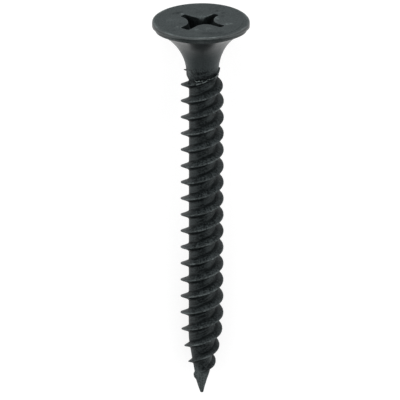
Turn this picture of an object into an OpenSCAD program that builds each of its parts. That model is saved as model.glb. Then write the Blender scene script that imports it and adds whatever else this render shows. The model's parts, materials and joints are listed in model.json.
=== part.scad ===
// Drywall screw with a bugle head, a cross recess and a fine two-start thread.
// It lies at rest: the rim of the head and one crest of the thread touch the ground.

/* [Head] */
// Overall length, from the flat of the head to the point
screw_len = 32; // [19:1:45]
// Diameter of the head
head_d = 7.8; // [7:0.1:8.6]
// Thickness of the thin rim round the head
rim_t = 0.4; // [0.35:0.05:0.6]
// Bevel between the flat of the head and its rim
rim_bevel = 0.1; // [0.05:0.01:0.15]
// Radius of the hollow curve under the head
bugle_r = 4.4; // [4.2:0.1:6]

/* [Neck] */
// Diameter of the smooth neck, where the hollow curve runs into it
neck_d = 2.56; // [2.4:0.02:2.8]
// Depth of the neck's start below the flat of the head
neck_start = 4.4; // [4.1:0.05:4.5]
// Depth of the neck's end below the flat of the head
neck_end = 4.75; // [4.6:0.05:5.4]
// Length of the cone that brings the neck down to the root of the thread
neck_cone = 0.45; // [0.2:0.05:1]

/* [Thread] */
// Diameter over the crests
thread_d = 3.45; // [3.1:0.05:3.7]
// Diameter at the root
root_d = 2.14; // [1.9:0.02:2.2]
// Distance between neighbouring crests along the screw
pitch = 1.4; // [1.2:0.1:1.8]
// Number of threads that wind side by side
starts = 2; // [1:1:2]
// Angle of the flank that faces the head
upper_flank = 24; // [15:1:30]
// Angle of the flank that faces the point
lower_flank = 19; // [15:1:30]
// Width of the flat on the crest
crest_w = 0.05; // [0.03:0.01:0.1]
// Size of the fillet between a flank and the root
root_fillet = 0.12; // [0.05:0.01:0.15]
// Depth of the thread's upper end below the flat of the head
thread_start = 4; // [3.8:0.1:5]
// Height over the neck with which the thread starts
start_h = 0.1; // [0.05:0.01:0.3]
// Turn over which the thread rises from there to its full height
run_in = 180; // [60:10:360]
// Turn over which the thread sinks away at its lower end
run_out = 60; // [30:10:180]

/* [Point] */
// Length of the sharp cone of the point
point_len = 1.5; // [1.3:0.05:2.6]
// Diameter where the sharp cone meets the taper of the core
point_d = 1.14; // [1:0.02:1.4]
// Diameter of the blunted tip
tip_d = 0.22; // [0.08:0.02:0.3]
// Distance of the end of the core's taper from the tip
core_taper = 4.8; // [4:0.1:7]
// Distance from the tip at which the crests reach their full diameter
crest_taper = 6.6; // [5:0.1:9]
// Diameter over the crests, carried on to the very tip
crest_tip_d = 0.6; // [0.3:0.02:0.7]
// Distance of the thread's lower end from the tip
thread_end = 1.2; // [0.9:0.05:1.4]

/* [Cross recess] */
// Width across two opposite wings at the flat of the head
wing_span = 4.1; // [3.8:0.1:4.6]
// Width of a wing
wing_w = 0.8; // [0.7:0.05:1.1]
// Diameter of the round core between the wings, at the flat of the head
core_d = 1.8; // [1.7:0.05:2.1]
// Diameter of the round core at the foot of the wings
core_foot_d = 1.5; // [1.4:0.05:1.7]
// Diameter of the recess at the foot of the wings
foot_d = 2.3; // [2.1:0.05:2.4]
// Slope of the wings' ends, from the screw's axis
wing_slope = 26.5; // [24:0.5:30]
// Angle of the cone at the bottom of the recess, from the axis
bottom_slope = 62; // [50:1:70]
// Turn of the wings round the axis, from the way the screw lies
recess_turn = 54; // [0:1:90]

/* [Hidden] */
finish = [0.17, 0.18, 0.18];
// Segments in one turn of the thread
turn_segs = 30;
// Length by which the shank's skin runs on inside the neck, past the thread's upper end
shank_overlap = 0.6;
// Depth by which the neck's cone runs on inside the core
neck_overlap = 0.25;
// Overshoot of a cutter past the face it cuts
over = 0.2;
// Segments of the round forms
round_segs = 96;

head_r = head_d / 2;
neck_r = neck_d / 2;
crest_r = thread_d / 2;
root_r = root_d / 2;
lead = starts * pitch;
rim_low = screw_len - rim_t;
neck_high = screw_len - neck_start;
neck_low = screw_len - neck_end;
thread_top = screw_len - thread_start;
shank_top = thread_top + shank_overlap;

// Core of the shank, as pairs of height and radius
core_steps = [[0, tip_d / 2], [point_len, point_d / 2], [core_taper, root_r], [screw_len, root_r]];
function core_radius(z) = lookup(z, core_steps);

// Radius of the crests, which closes in towards the tip along a curve
function crest_radius(z) =
    crest_r - (crest_r - crest_tip_d / 2) * max(0, 1 - z / crest_taper) ^ 1.5;

// A thread is followed down from its upper end: turn is the angle wound since then
thread_turn = 360 * (thread_top - thread_end) / lead;
function first_angle(start) = start * 360 / starts - 90;
function height_on_axis(turn) = thread_top - lead * turn / 360;

// Height of the crest over the core
function crest_height(turn) =
    let (z = height_on_axis(turn),
         full_h = crest_radius(z) - core_radius(z),
         rise = min(1, turn / run_in),
         first_h = neck_r - root_r + start_h)
    turn < 0 || turn > thread_turn ? 0
    : (first_h + (full_h - first_h) * rise) * min(1, (thread_turn - turn) / run_out);

// Section of the thread in a plane through the axis: pairs of height over the core and shift
// along the axis, from the side of the point to the side of the head
function thread_section(h) =
    let (f = min(root_fillet, h / 3),
         low = h * tan(lower_flank) + crest_w / 2,
         high = h * tan(upper_flank) + crest_w / 2)
    [
        [0, -low - f],
        [f, -low + f * tan(lower_flank)],
        [h, -crest_w / 2],
        [h, crest_w / 2],
        [f, high - f * tan(upper_flank)],
        [0, high + f]
    ];

// Skin of the shank: one band of rings for each start. The bands lie side by side along the
// helix, begin above the shank and end below it, and all that reaches past is pressed flat
// onto the two end planes
spare_turns = ceil((shank_top - thread_top) / lead) + 2;
band_turns = spare_turns + ceil(thread_top / lead) + 2;
band_rings = band_turns * turn_segs + 1;
section_size = len(thread_section(1));
function skin_index(start, ring, row) = (start * band_rings + ring) * section_size + row;

skin_points = [
    for (start = [0 : starts - 1], ring = [0 : band_rings - 1])
        let (turn = ring * 360 / turn_segs - spare_turns * 360, angle = first_angle(start) - turn)
        for (p = thread_section(crest_height(turn)))
            let (z = min(shank_top, max(0, height_on_axis(turn) + p[1])),
                 r = core_radius(z) + p[0])
            [r * cos(angle), r * sin(angle), z]
];

// Two triangles between neighbouring rings, less those that were pressed to nothing
function skin_quad(a, b, c, d) = [
    for (f = [[a, b, c], [a, c, d]])
        if (skin_points[f[0]] != skin_points[f[1]]
            && skin_points[f[1]] != skin_points[f[2]]
            && skin_points[f[2]] != skin_points[f[0]]) f
];

module threaded_shank() {
    band_shift = turn_segs / starts;
    thread_faces = [
        for (start = [0 : starts - 1], ring = [0 : band_rings - 2], row = [0 : section_size - 2])
            each skin_quad(
                skin_index(start, ring, row), skin_index(start, ring + 1, row),
                skin_index(start, ring + 1, row + 1), skin_index(start, ring, row + 1)
            )
    ];
    root_faces = [
        for (start = [0 : starts - 1], ring = [0 : band_rings - 2 - band_shift])
            let (below = (start + 1) % starts, ring_below = ring + band_shift, top = section_size - 1)
            each skin_quad(
                skin_index(below, ring_below, top), skin_index(below, ring_below + 1, top),
                skin_index(start, ring + 1, 0), skin_index(start, ring, 0)
            )
    ];
    top_face = [for (ring = [0 : turn_segs - 1]) skin_index(0, ring, 0)];
    tip_face = [for (ring = [0 : turn_segs - 1]) skin_index(0, band_rings - 1 - ring, 0)];
    polyhedron(skin_points, concat(thread_faces, root_faces, [top_face, tip_face]));
}

// Outline of the head and neck, from the axis out. The hollow curve is an arc that meets the
// neck without a corner and runs out against the rim
module head_outline() {
    cone_slope = neck_cone / (neck_r - root_r);
    foot_r = root_r - neck_overlap;
    foot_z = neck_low - (neck_r - foot_r) * cone_slope;
    polygon([
        [0, foot_z],
        [foot_r, foot_z],
        [neck_r, neck_low],
        [neck_r, neck_high],
        [0, neck_high]
    ]);
    difference() {
        translate([0, neck_high])
            square([head_r, rim_low - neck_high]);
        translate([neck_r + bugle_r, neck_high])
            circle(bugle_r, $fn = round_segs);
    }
    polygon([
        [0, rim_low],
        [head_r, rim_low],
        [head_r, screw_len - rim_bevel],
        [head_r - rim_bevel, screw_len],
        [0, screw_len]
    ]);
}

module turned_head() {
    rotate_extrude($fn = round_segs) head_outline();
}

// Cross recess: two crossed slots and a round core, held inside a cone, with a pointed bottom
module drive_recess() {
    span_r = wing_span / 2;
    wing_depth = (span_r - foot_d / 2) / tan(wing_slope);
    bottom_depth = foot_d / 2 / tan(bottom_slope);
    translate([0, 0, screw_len - wing_depth])
    rotate([0, 0, recess_turn]) {
        intersection() {
            cylinder(wing_depth + over, foot_d / 2, span_r + over * tan(wing_slope), $fn = round_segs);
            union() {
                for (turn = [0, 90])
                    rotate([0, 0, turn])
                        translate([-wing_span, -wing_w / 2, 0])
                            cube([2 * wing_span, wing_w, wing_depth + over]);
                cylinder(wing_depth, d1 = core_foot_d, d2 = core_d, $fn = round_segs);
                translate([0, 0, wing_depth])
                    cylinder(over, d = core_d, $fn = round_segs);
            }
        }
        translate([0, 0, -bottom_depth])
            cylinder(bottom_depth, 0, foot_d / 2, $fn = round_segs);
    }
}

module screw() {
    color(finish)
    difference() {
        union() {
            turned_head();
            threaded_shank();
        }
        drive_recess();
    }
}

// The screw lies on the line at angle 0 of its side. The ground touches the rim there, and
// the crest that lets it slope least
function slope_to(turn) =
    let (z = height_on_axis(turn), r = core_radius(z) + crest_height(turn))
    (head_r - r) / (rim_low - z + crest_w / 2);
down_turns = [
    for (start = [0 : starts - 1], turn = [(first_angle(start) + 360) % 360 : 360 : thread_turn])
        if (turn > 0) turn
];
ground_slope = min([for (turn = down_turns) slope_to(turn)]);
rest_tilt = atan(ground_slope);
rest_lift = head_r * cos(rest_tilt) - rim_low * sin(rest_tilt);
tip_end_x = -tip_d / 2 * sin(rest_tilt);
head_end_x = screw_len * cos(rest_tilt) + (head_r - rim_bevel) * sin(rest_tilt);

translate([-(tip_end_x + head_end_x) / 2, 0, rest_lift])
        rotate([0, 90 - rest_tilt, 0])
            screw();
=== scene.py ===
import bpy
import bmesh
import json
import math
from mathutils import Matrix, Vector, noise


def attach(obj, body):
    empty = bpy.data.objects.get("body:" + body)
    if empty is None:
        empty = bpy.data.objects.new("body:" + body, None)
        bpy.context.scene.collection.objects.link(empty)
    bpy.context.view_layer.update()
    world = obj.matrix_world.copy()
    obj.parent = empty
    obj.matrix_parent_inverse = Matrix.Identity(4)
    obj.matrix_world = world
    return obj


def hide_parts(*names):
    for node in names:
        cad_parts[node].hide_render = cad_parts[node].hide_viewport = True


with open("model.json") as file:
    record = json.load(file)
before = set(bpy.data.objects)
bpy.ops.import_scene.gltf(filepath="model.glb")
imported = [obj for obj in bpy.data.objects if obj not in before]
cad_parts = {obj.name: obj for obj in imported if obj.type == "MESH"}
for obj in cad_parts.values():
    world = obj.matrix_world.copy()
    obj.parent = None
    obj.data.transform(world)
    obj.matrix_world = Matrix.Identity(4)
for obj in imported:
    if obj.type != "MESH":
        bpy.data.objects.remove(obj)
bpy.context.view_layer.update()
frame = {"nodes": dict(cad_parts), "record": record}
print("frame loaded:", ", ".join(frame["nodes"]))

# Every mesh is made in millimetres in the screw's own frame, point at the bottom and the head's
# flat at the top, and laid down once at the end. Its +X side is the side that lies on the floor
screwLength = 32.0
mounts = {mount["name"]: mount for mount in frame["record"]["mounts"]}
headCentre = Vector(mounts["drive_recess"]["pos_m"])
axis = Vector(mounts["drive_recess"]["axis"]).normalized()
sideways = Vector((0, 1, 0))
downSide = sideways.cross(axis)
layDown = Matrix.Identity(4)
for column, direction in enumerate((downSide, sideways, axis)):
    for row in range(3):
        layDown[row][column] = direction[row] / 1000
layDown.translation = headCentre - axis * screwLength / 1000


# Number formulas as nodes: a Field is a socket that can be added, multiplied and so on
class Field:
    def __init__(self, tree, socket):
        self.tree = tree
        self.socket = socket

    def calc(self, operation, *others):
        return calc(self.tree, operation, self, *others)

    def __add__(self, other):
        return self.calc("ADD", other)

    def __sub__(self, other):
        return self.calc("SUBTRACT", other)

    def __mul__(self, other):
        return self.calc("MULTIPLY", other)

    def __truediv__(self, other):
        return self.calc("DIVIDE", other)

    def __rsub__(self, other):
        return calc(self.tree, "SUBTRACT", other, self)

    __radd__ = __add__
    __rmul__ = __mul__


def plug(tree, value, socket):
    if isinstance(value, Field):
        tree.links.new(value.socket, socket)
    elif isinstance(value, bpy.types.NodeSocket):
        tree.links.new(value, socket)
    else:
        socket.default_value = value


def calc(tree, operation, *values):
    node = tree.nodes.new("ShaderNodeMath")
    node.operation = operation
    for value, socket in zip(values, node.inputs):
        plug(tree, value, socket)
    return Field(tree, node.outputs[0])


def step(tree, value, low, high, smooth=True):
    # 0 below low, 1 above high
    node = tree.nodes.new("ShaderNodeMapRange")
    node.interpolation_type = "SMOOTHSTEP" if smooth else "LINEAR"
    for name, number in (("Value", value), ("From Min", low), ("From Max", high)):
        plug(tree, number, node.inputs[name])
    return Field(tree, node.outputs[0])


def window(tree, value, rise, fall):
    # 1 between two ranges, 0 outside them
    return step(tree, value, *rise) * (1.0 - step(tree, value, *fall))


def addNode(tree, kind, settings=None, **inputs):
    node = tree.nodes.new(kind)
    for name, value in (settings or {}).items():
        setattr(node, name, value)
    for name, value in inputs.items():
        plug(tree, value, node.inputs[name.replace("_", " ")])
    return node


def vector(tree, x, y, z):
    return addNode(tree, "ShaderNodeCombineXYZ", X=x, Y=y, Z=z).outputs[0]


def splitVector(tree, place):
    outputs = addNode(tree, "ShaderNodeSeparateXYZ", Vector=place).outputs
    return [Field(tree, output) for output in outputs]


def noiseField(tree, place, scale, seed, detail=2.0):
    node = addNode(tree, "ShaderNodeTexNoise", {"noise_dimensions": "4D"},
                   Vector=place, W=seed, Scale=scale, Detail=detail)
    return Field(tree, node.outputs[0])


# The inputs of a piece's tree: one for a size, and two for a range
def inputValues(sizes):
    values = {}
    for label, value in sizes.items():
        if isinstance(value, tuple):
            values[label + " from"], values[label + " to"] = value
        else:
            values[label] = value
    return values


# A geometry tree with named inputs for a piece's sizes and its finish
def newGeometryTree(name, sizes):
    tree = bpy.data.node_groups.new(name, "GeometryNodeTree")
    tree.interface.new_socket("Geometry", in_out="OUTPUT", socket_type="NodeSocketGeometry")
    for label, value in inputValues(sizes).items():
        kind = "NodeSocketInt" if isinstance(value, int) else "NodeSocketFloat"
        tree.interface.new_socket(label, in_out="INPUT", socket_type=kind)
    tree.interface.new_socket("finish", in_out="INPUT", socket_type="NodeSocketMaterial")
    source = tree.nodes.new("NodeGroupInput")
    size = {}
    for label, value in sizes.items():
        if isinstance(value, tuple):
            size[label] = [Field(tree, source.outputs[label + end]) for end in (" from", " to")]
        else:
            size[label] = Field(tree, source.outputs[label])
    return tree, size, source.outputs["finish"]


def addObject(name, data):
    made = bpy.data.objects.new(name, data)
    bpy.context.scene.collection.objects.link(made)
    return made


def runTree(tree, sizes, finish):
    carrier = addObject(tree.name, bpy.data.meshes.new(tree.name))
    modifier = carrier.modifiers.new(tree.name, "NODES")
    modifier.node_group = tree
    values = inputValues(sizes)
    for item in tree.interface.items_tree:
        if item.in_out == "INPUT":
            modifier[item.identifier] = finish if item.name == "finish" else values[item.name]
    depsgraph = bpy.context.evaluated_depsgraph_get()
    evaluated = carrier.evaluated_get(depsgraph)
    mesh = bpy.data.meshes.new_from_object(evaluated, depsgraph=depsgraph)
    carrier.modifiers.remove(modifier)
    bpy.data.objects.remove(carrier)
    return mesh


# The shank, millimetres: core, neck and two threads that wind side by side. Turns count from
# the thread's upper end, heights from the tip. A pair is the range of turns, heights, distances,
# cosines or noise over which a thing comes or goes
shankSizes = {
    "starts": 2,
    "pitch": 1.4,
    "thread top": 28.0,
    "shank top": 28.6,
    "tip reach": 0.06,
    "tip radius": 0.125,
    "tip blunting": 0.14,
    "tip blend": 0.04,
    "point radius": 0.555,
    "point length": 1.5,
    "core taper": 4.8,
    "core blend": 0.08,
    "root radius": 1.065,
    "neck radius": 1.28,
    "neck rise": (26.9, 27.5),
    "neck high": 27.5,
    "bugle radius": 4.5,
    "crest radius": 1.725,
    "crest tip radius": 0.3,
    "crest taper": 6.6,
    "taper curve": 1.5,
    "upper flank": math.tan(math.radians(24)),
    "lower flank": math.tan(math.radians(23)),
    "crest half width": 0.02,
    "lower crest width": 0.05,
    "crest rounding": 0.05,
    "root fillet": 0.12,
    "rounding height": 0.5,
    "burr height": 0.12,
    "run in": 0.5,
    "late start": 0.07,
    "start ramp": (-0.012, 0.0),
    "run out": 0.28,
    "thread end": 1.85,
    "end stagger": 0.12,
    "seed": 3.0,
    "nicks": 0.05,
    "nick scale": 2.6,
    "nick range": (0.56, 0.74),
    "fine nick scale": 9.0,
    "tearing": 0.16,
    "tears along": 5.0,
    "tears across": 9.0,
    "tear start": (0.03, 0.14),
    "tear end": (0.3, 0.52),
    "tear width": (0.22, 0.42),
    "tear troughs": (-0.12, 0.1),
    "dents": 0.014,
    "dent scale": 1.3,
    "damage start": (0.0, 0.6),
    "damage end": (27.9, 28.5),
    "pinch line": 0.035,
    "pinch turn": 0.35,
    "pinch sharpness": 260.0,
    "pinch start": (0.15, 0.5),
    "pinch end": (2.0, 3.6),
    "lump height": 0.11,
    "lump width": (0.72, 0.98),
    "lump place": 1.47,
    "lump length": (0.1, 0.36),
    "crest lean": 0.2,
    "lean end": (3.6, 6.4),
    "end stretch": 0.08,
    "stretch start": (0.8, 2.2),
    "stretch end": (3.2, 14.0),
    "point drift": 0.03,
    "left drift start": (0.0, 0.6),
    "left drift end": (1.1, 1.7),
    "right drift start": (1.5, 2.0),
    "right drift end": (2.4, 3.2),
    "head offset": 0.118,
    "offset rise": (28.0, 31.2),
    "row crowding": 1.6,
    "turn segments": 144,
    "band rows": 20,
}

# Lighter strips, two on the neck and one near the point: turn round the axis, the cosines over
# which a strip comes in on either side of it, height, reach along the axis, strength
lighterStrips = [
    {"turn": 2.22, "width": (0.97, 1.0), "height": 27.76, "reach": (0.1, 0.4), "wearAndHighlight": 0.9},
    {"turn": 4.4, "width": (0.975, 1.0), "height": 28.0, "reach": (0.1, 0.4), "wearAndHighlight": 1.2},
    {"turn": 4.4, "width": (0.8, 1.0), "height": 3.0, "reach": (0.15, 0.5), "wearAndHighlight": 0.4},
]


def threadedShankTree(sizes):
    tree, size, finish = newGeometryTree("threadedShank", sizes)
    lead = size["pitch"] * size["starts"]
    spareTurns = 2.0
    bandTurns = (size["thread top"] / lead).calc("CEIL") + 2 * spareTurns

    # One flat band for each thread start, numbered, then bent round the core
    along = (bandTurns * size["turn segments"] + 1.0).calc("ROUND")
    band = addNode(tree, "GeometryNodeMeshGrid", Size_X=1.0, Size_Y=2.0,
                   Vertices_X=along, Vertices_Y=size["band rows"] + 1.0)
    points = addNode(tree, "GeometryNodePoints", Count=size["starts"])
    index = tree.nodes.new("GeometryNodeInputIndex").outputs[0]
    numbered = addNode(tree, "GeometryNodeStoreNamedAttribute", Name="start", Value=index,
                       Geometry=points.outputs[0])
    bands = addNode(tree, "GeometryNodeInstanceOnPoints", Points=numbered.outputs[0],
                    Instance=band.outputs[0])
    flat = addNode(tree, "GeometryNodeRealizeInstances", Geometry=bands.outputs[0])
    start = Field(tree, addNode(tree, "GeometryNodeInputNamedAttribute", Name="start").outputs[0])
    place = tree.nodes.new("GeometryNodeInputPosition").outputs[0]
    alongBand, across = splitVector(tree, place)[:2]
    turn = (alongBand + 0.5) * bandTurns - spareTurns

    # Rows lie closer together towards the crest. The first thread starts on the right
    crowded = across.calc("ABSOLUTE").calc("POWER", size["row crowding"])
    shift = across.calc("SIGN") * crowded * size["pitch"] / 2
    centre = size["thread top"] - lead * turn
    angle = (start / size["starts"] - 0.25 - turn) * math.tau
    height = (centre + shift).calc("MAXIMUM", 0.0 - size["tip reach"]).calc(
        "MINIMUM", size["shank top"])

    def coreRadius(z):
        fromTip = (z + size["tip reach"]).calc("MAXIMUM", 0.0)
        blunt = (fromTip * size["tip blunting"] * 2).calc("SQRT")
        coneSlope = (size["point radius"] - size["tip radius"]) / size["point length"]
        cone = size["tip radius"] + z * coneSlope
        taperLength = size["core taper"] - size["point length"]
        taper = size["point radius"] + (z - size["point length"]) * (
            (size["root radius"] - size["point radius"]) / taperLength)
        shaft = blunt.calc("SMOOTH_MIN", cone, size["tip blend"])
        shaft = shaft.calc("SMOOTH_MIN", taper, size["core blend"])
        shaft = shaft.calc("SMOOTH_MIN", size["root radius"], size["core blend"])
        neck = (size["neck radius"] - size["root radius"]) * step(tree, z, *size["neck rise"])
        rise = (z - size["neck high"]).calc("MAXIMUM", 0.0)
        bugle = size["bugle radius"] - (
            size["bugle radius"] * size["bugle radius"] - rise * rise).calc("SQRT")
        return shaft + neck + bugle

    # Height of the crest over the core: a low burr at the neck, full after the run-in, sinking
    # away at the point. One thread starts a little later than the other, and ends sooner
    closing = (1.0 - centre / size["crest taper"]).calc("MAXIMUM", 0.0)
    closing = closing.calc("POWER", size["taper curve"])
    crest = size["crest radius"] - (size["crest radius"] - size["crest tip radius"]) * closing
    full = (crest - coreRadius(centre)).calc("MAXIMUM", 0.0)
    late = start * size["late start"]
    runIn = step(tree, turn, late, size["run in"] + late * 2)
    begin = step(tree, turn - late, *size["start ramp"], smooth=False)
    lastHeight = size["thread end"] + start * size["end stagger"]
    lastTurn = (size["thread top"] - lastHeight) / lead
    runOut = step(tree, lastTurn - turn, 0.0, size["run out"])
    crestHeight = (size["burr height"] + (full - size["burr height"]) * runIn) * begin * runOut

    # Surface places without the small damage, from which the damage is worked out. Each noise
    # has a seed of its own
    cosine = angle.calc("COSINE")
    sine = angle.calc("SINE")
    smoothPlace = vector(tree, cosine * size["crest radius"], sine * size["crest radius"], height)
    nickNoise = noiseField(tree, smoothPlace, size["nick scale"], size["seed"])
    nick = step(tree, nickNoise, *size["nick range"])
    fineNick = noiseField(tree, smoothPlace, size["fine nick scale"], size["seed"] + 4.0) - 0.5
    crestHeight = crestHeight * (1.0 - nick * size["nicks"] - fineNick * size["nicks"])

    # Section of the thread
    above = shift.calc("GREATER_THAN", 0.0)
    under = 1.0 - above
    fromCrest = shift.calc("ABSOLUTE")
    slopes = size["lower flank"] + above * (size["upper flank"] - size["lower flank"])
    halfWidth = size["crest half width"] + under * size["lower crest width"]
    flank = crestHeight + (halfWidth - fromCrest) / slopes
    rounding = (crestHeight / size["rounding height"]).calc("MINIMUM", 1.0)
    ridge = crestHeight.calc("SMOOTH_MIN", flank, size["crest rounding"] * rounding)
    ridge = ridge.calc("SMOOTH_MAX", 0.0, size["root fillet"] * rounding).calc("MAXIMUM", 0.0)

    # Torn metal where the thread rises out of the neck: fine laps along the thread
    tearPlace = vector(tree, turn * size["tears along"], 0.0, height * size["tears across"])
    tear = noiseField(tree, tearPlace, 1.0, size["seed"] + 1.0, 1.0) - 0.5
    tearZone = begin * (1.0 - step(tree, turn, *size["tear end"])) * step(tree, turn, *size["tear start"])
    nearThread = 1.0 - step(tree, fromCrest, *size["tear width"])
    torn = tear * tearZone * nearThread * size["tearing"]
    # Painted shade in the troughs between the laps
    troughShade = tearZone * nearThread * (1.0 - step(tree, tear, *size["tear troughs"]))

    # Low dents all over, the two raised lines that the point's dies leave, and the lump in which
    # the left thread ends
    dentNoise = noiseField(tree, smoothPlace, size["dent scale"], size["seed"] + 2.0)
    dent = (dentNoise - 0.5) * size["dents"]
    aroundPoint = (angle - size["pinch turn"]).calc("COSINE").calc("ABSOLUTE")
    aroundPoint = aroundPoint.calc("POWER", size["pinch sharpness"])
    pinchZone = window(tree, height, size["pinch start"], size["pinch end"])
    pinch = aroundPoint * pinchZone * size["pinch line"]
    aroundLump = step(tree, (angle - math.pi / 2).calc("COSINE"), *size["lump width"])
    alongLump = 1.0 - step(tree, (height - size["lump place"]).calc("ABSOLUTE"), *size["lump length"])
    lump = aroundLump * alongLump * size["lump height"]
    damaged = window(tree, height, size["damage start"], size["damage end"])
    radius = coreRadius(height) + ridge + (torn + dent + pinch + lump) * damaged

    # In the point the crests lean towards the tip, as the dies press them square to the cone,
    # and the lower turns sit a little low. The head is off the shank's axis to the left, and the
    # point wavers: left by the tip, right above that
    lean = ridge * size["crest lean"] * (1.0 - step(tree, height, *size["lean end"]))
    stretch = window(tree, height, size["stretch start"], size["stretch end"]) * size["end stretch"]
    leant = (height - lean - stretch).calc("MAXIMUM", 0.0 - size["tip reach"])
    leftwards = window(tree, height, size["left drift start"], size["left drift end"])
    rightwards = window(tree, height, size["right drift start"], size["right drift end"])
    drift = (leftwards - rightwards) * size["point drift"]
    offset = size["head offset"] * step(tree, height, *size["offset rise"])
    bent = vector(tree, radius * cosine, radius * sine + offset + drift, leant)

    lightened = 0.0
    for strip in lighterStrips:
        around = step(tree, (angle - strip["turn"]).calc("COSINE"), *strip["width"])
        beside = step(tree, (height - strip["height"]).calc("ABSOLUTE"), *strip["reach"])
        lightened = lightened + around * strip["wearAndHighlight"] * (1.0 - beside)

    # What the finish needs to know: where it is lighter, painted shade in the troughs between the
    # torn laps, distance from the crest's line and of the flank's foot from it, the thread's height,
    # and which side of the crest this is. It is stored while the bands are flat
    foot = halfWidth + slopes * crestHeight
    marked = flat
    for name, value in (("wearAndHighlightMark", lightened), ("paintedShadeAndScuffs", troughShade), ("fromCrest", fromCrest),
                        ("flankFoot", foot), ("threadHeight", crestHeight), ("underCrest", under)):
        marked = addNode(tree, "GeometryNodeStoreNamedAttribute", Name=name, Value=value,
                         Geometry=marked.outputs[0])
    shaped = addNode(tree, "GeometryNodeSetPosition", Geometry=marked.outputs[0], Position=bent)
    joined = addNode(tree, "GeometryNodeRealizeInstances", Geometry=shaped.outputs[0])
    finished = addNode(tree, "GeometryNodeSetMaterial", Geometry=joined.outputs[0], Material=finish)
    output = tree.nodes.new("NodeGroupOutput")
    tree.links.new(finished.outputs[0], output.inputs[0])
    return tree


# 0 below low, 1 above high
def smoothShare(value, low, high):
    share = min(1.0, max(0.0, (value - low) / (high - low)))
    return share * share * (3 - 2 * share)


# 1 in the middle, falling away on both sides
def bell(value, middle, spread):
    return math.exp(-((value - middle) / spread) ** 2)


# The direction out from the axis at a turn in degrees
def outwards(degrees):
    a = math.radians(degrees)
    return Vector((math.cos(a), math.sin(a), 0))


# From the first of a pair to the second
def between(pair, share):
    return pair[0] + (pair[1] - pair[0]) * share


# Faces between two rings of vertices
def joinEqualRings(bm, low, high):
    count = len(low)
    for i in range(count):
        following = (i + 1) % count
        bm.faces.new((low[i], low[following], high[following], high[i]))


# A ring with the same marks all round, joined to the one before it if there is one
def nextRing(bm, previous, places, *marks):
    ring = [bm.verts.new(place) for place in places]
    for vert in ring:
        for layer, value in marks:
            vert[layer] = value
    if previous:
        joinEqualRings(bm, previous, ring)
    return ring


def joinToPole(bm, ring, pole):
    count = len(ring)
    for i in range(count):
        bm.faces.new((ring[i], ring[(i + 1) % count], pole))


def turnOf(vert):
    return math.atan2(vert.co.y, vert.co.x) % math.tau


# How much a vertex faces a direction round the axis, in degrees
def facing(vert, degrees):
    return max(0.0, math.cos(turnOf(vert) - math.radians(degrees)))


# Triangles between two rings of different counts, always on the side that lags behind
def joinUnequalRings(bm, inner, outer):
    inner = sorted(inner, key=turnOf)
    outer = sorted(outer, key=turnOf)
    i = j = 0
    while i < len(inner) or j < len(outer):
        a, b = inner[i % len(inner)], outer[j % len(outer)]
        nextInner = turnOf(inner[(i + 1) % len(inner)]) + (math.tau if i + 1 >= len(inner) else 0)
        nextOuter = turnOf(outer[(j + 1) % len(outer)]) + (math.tau if j + 1 >= len(outer) else 0)
        if j >= len(outer) or (i < len(inner) and nextInner <= nextOuter):
            bm.faces.new((a, b, inner[(i + 1) % len(inner)]))
            i += 1
        else:
            bm.faces.new((a, b, outer[(j + 1) % len(outer)]))
            j += 1


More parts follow.
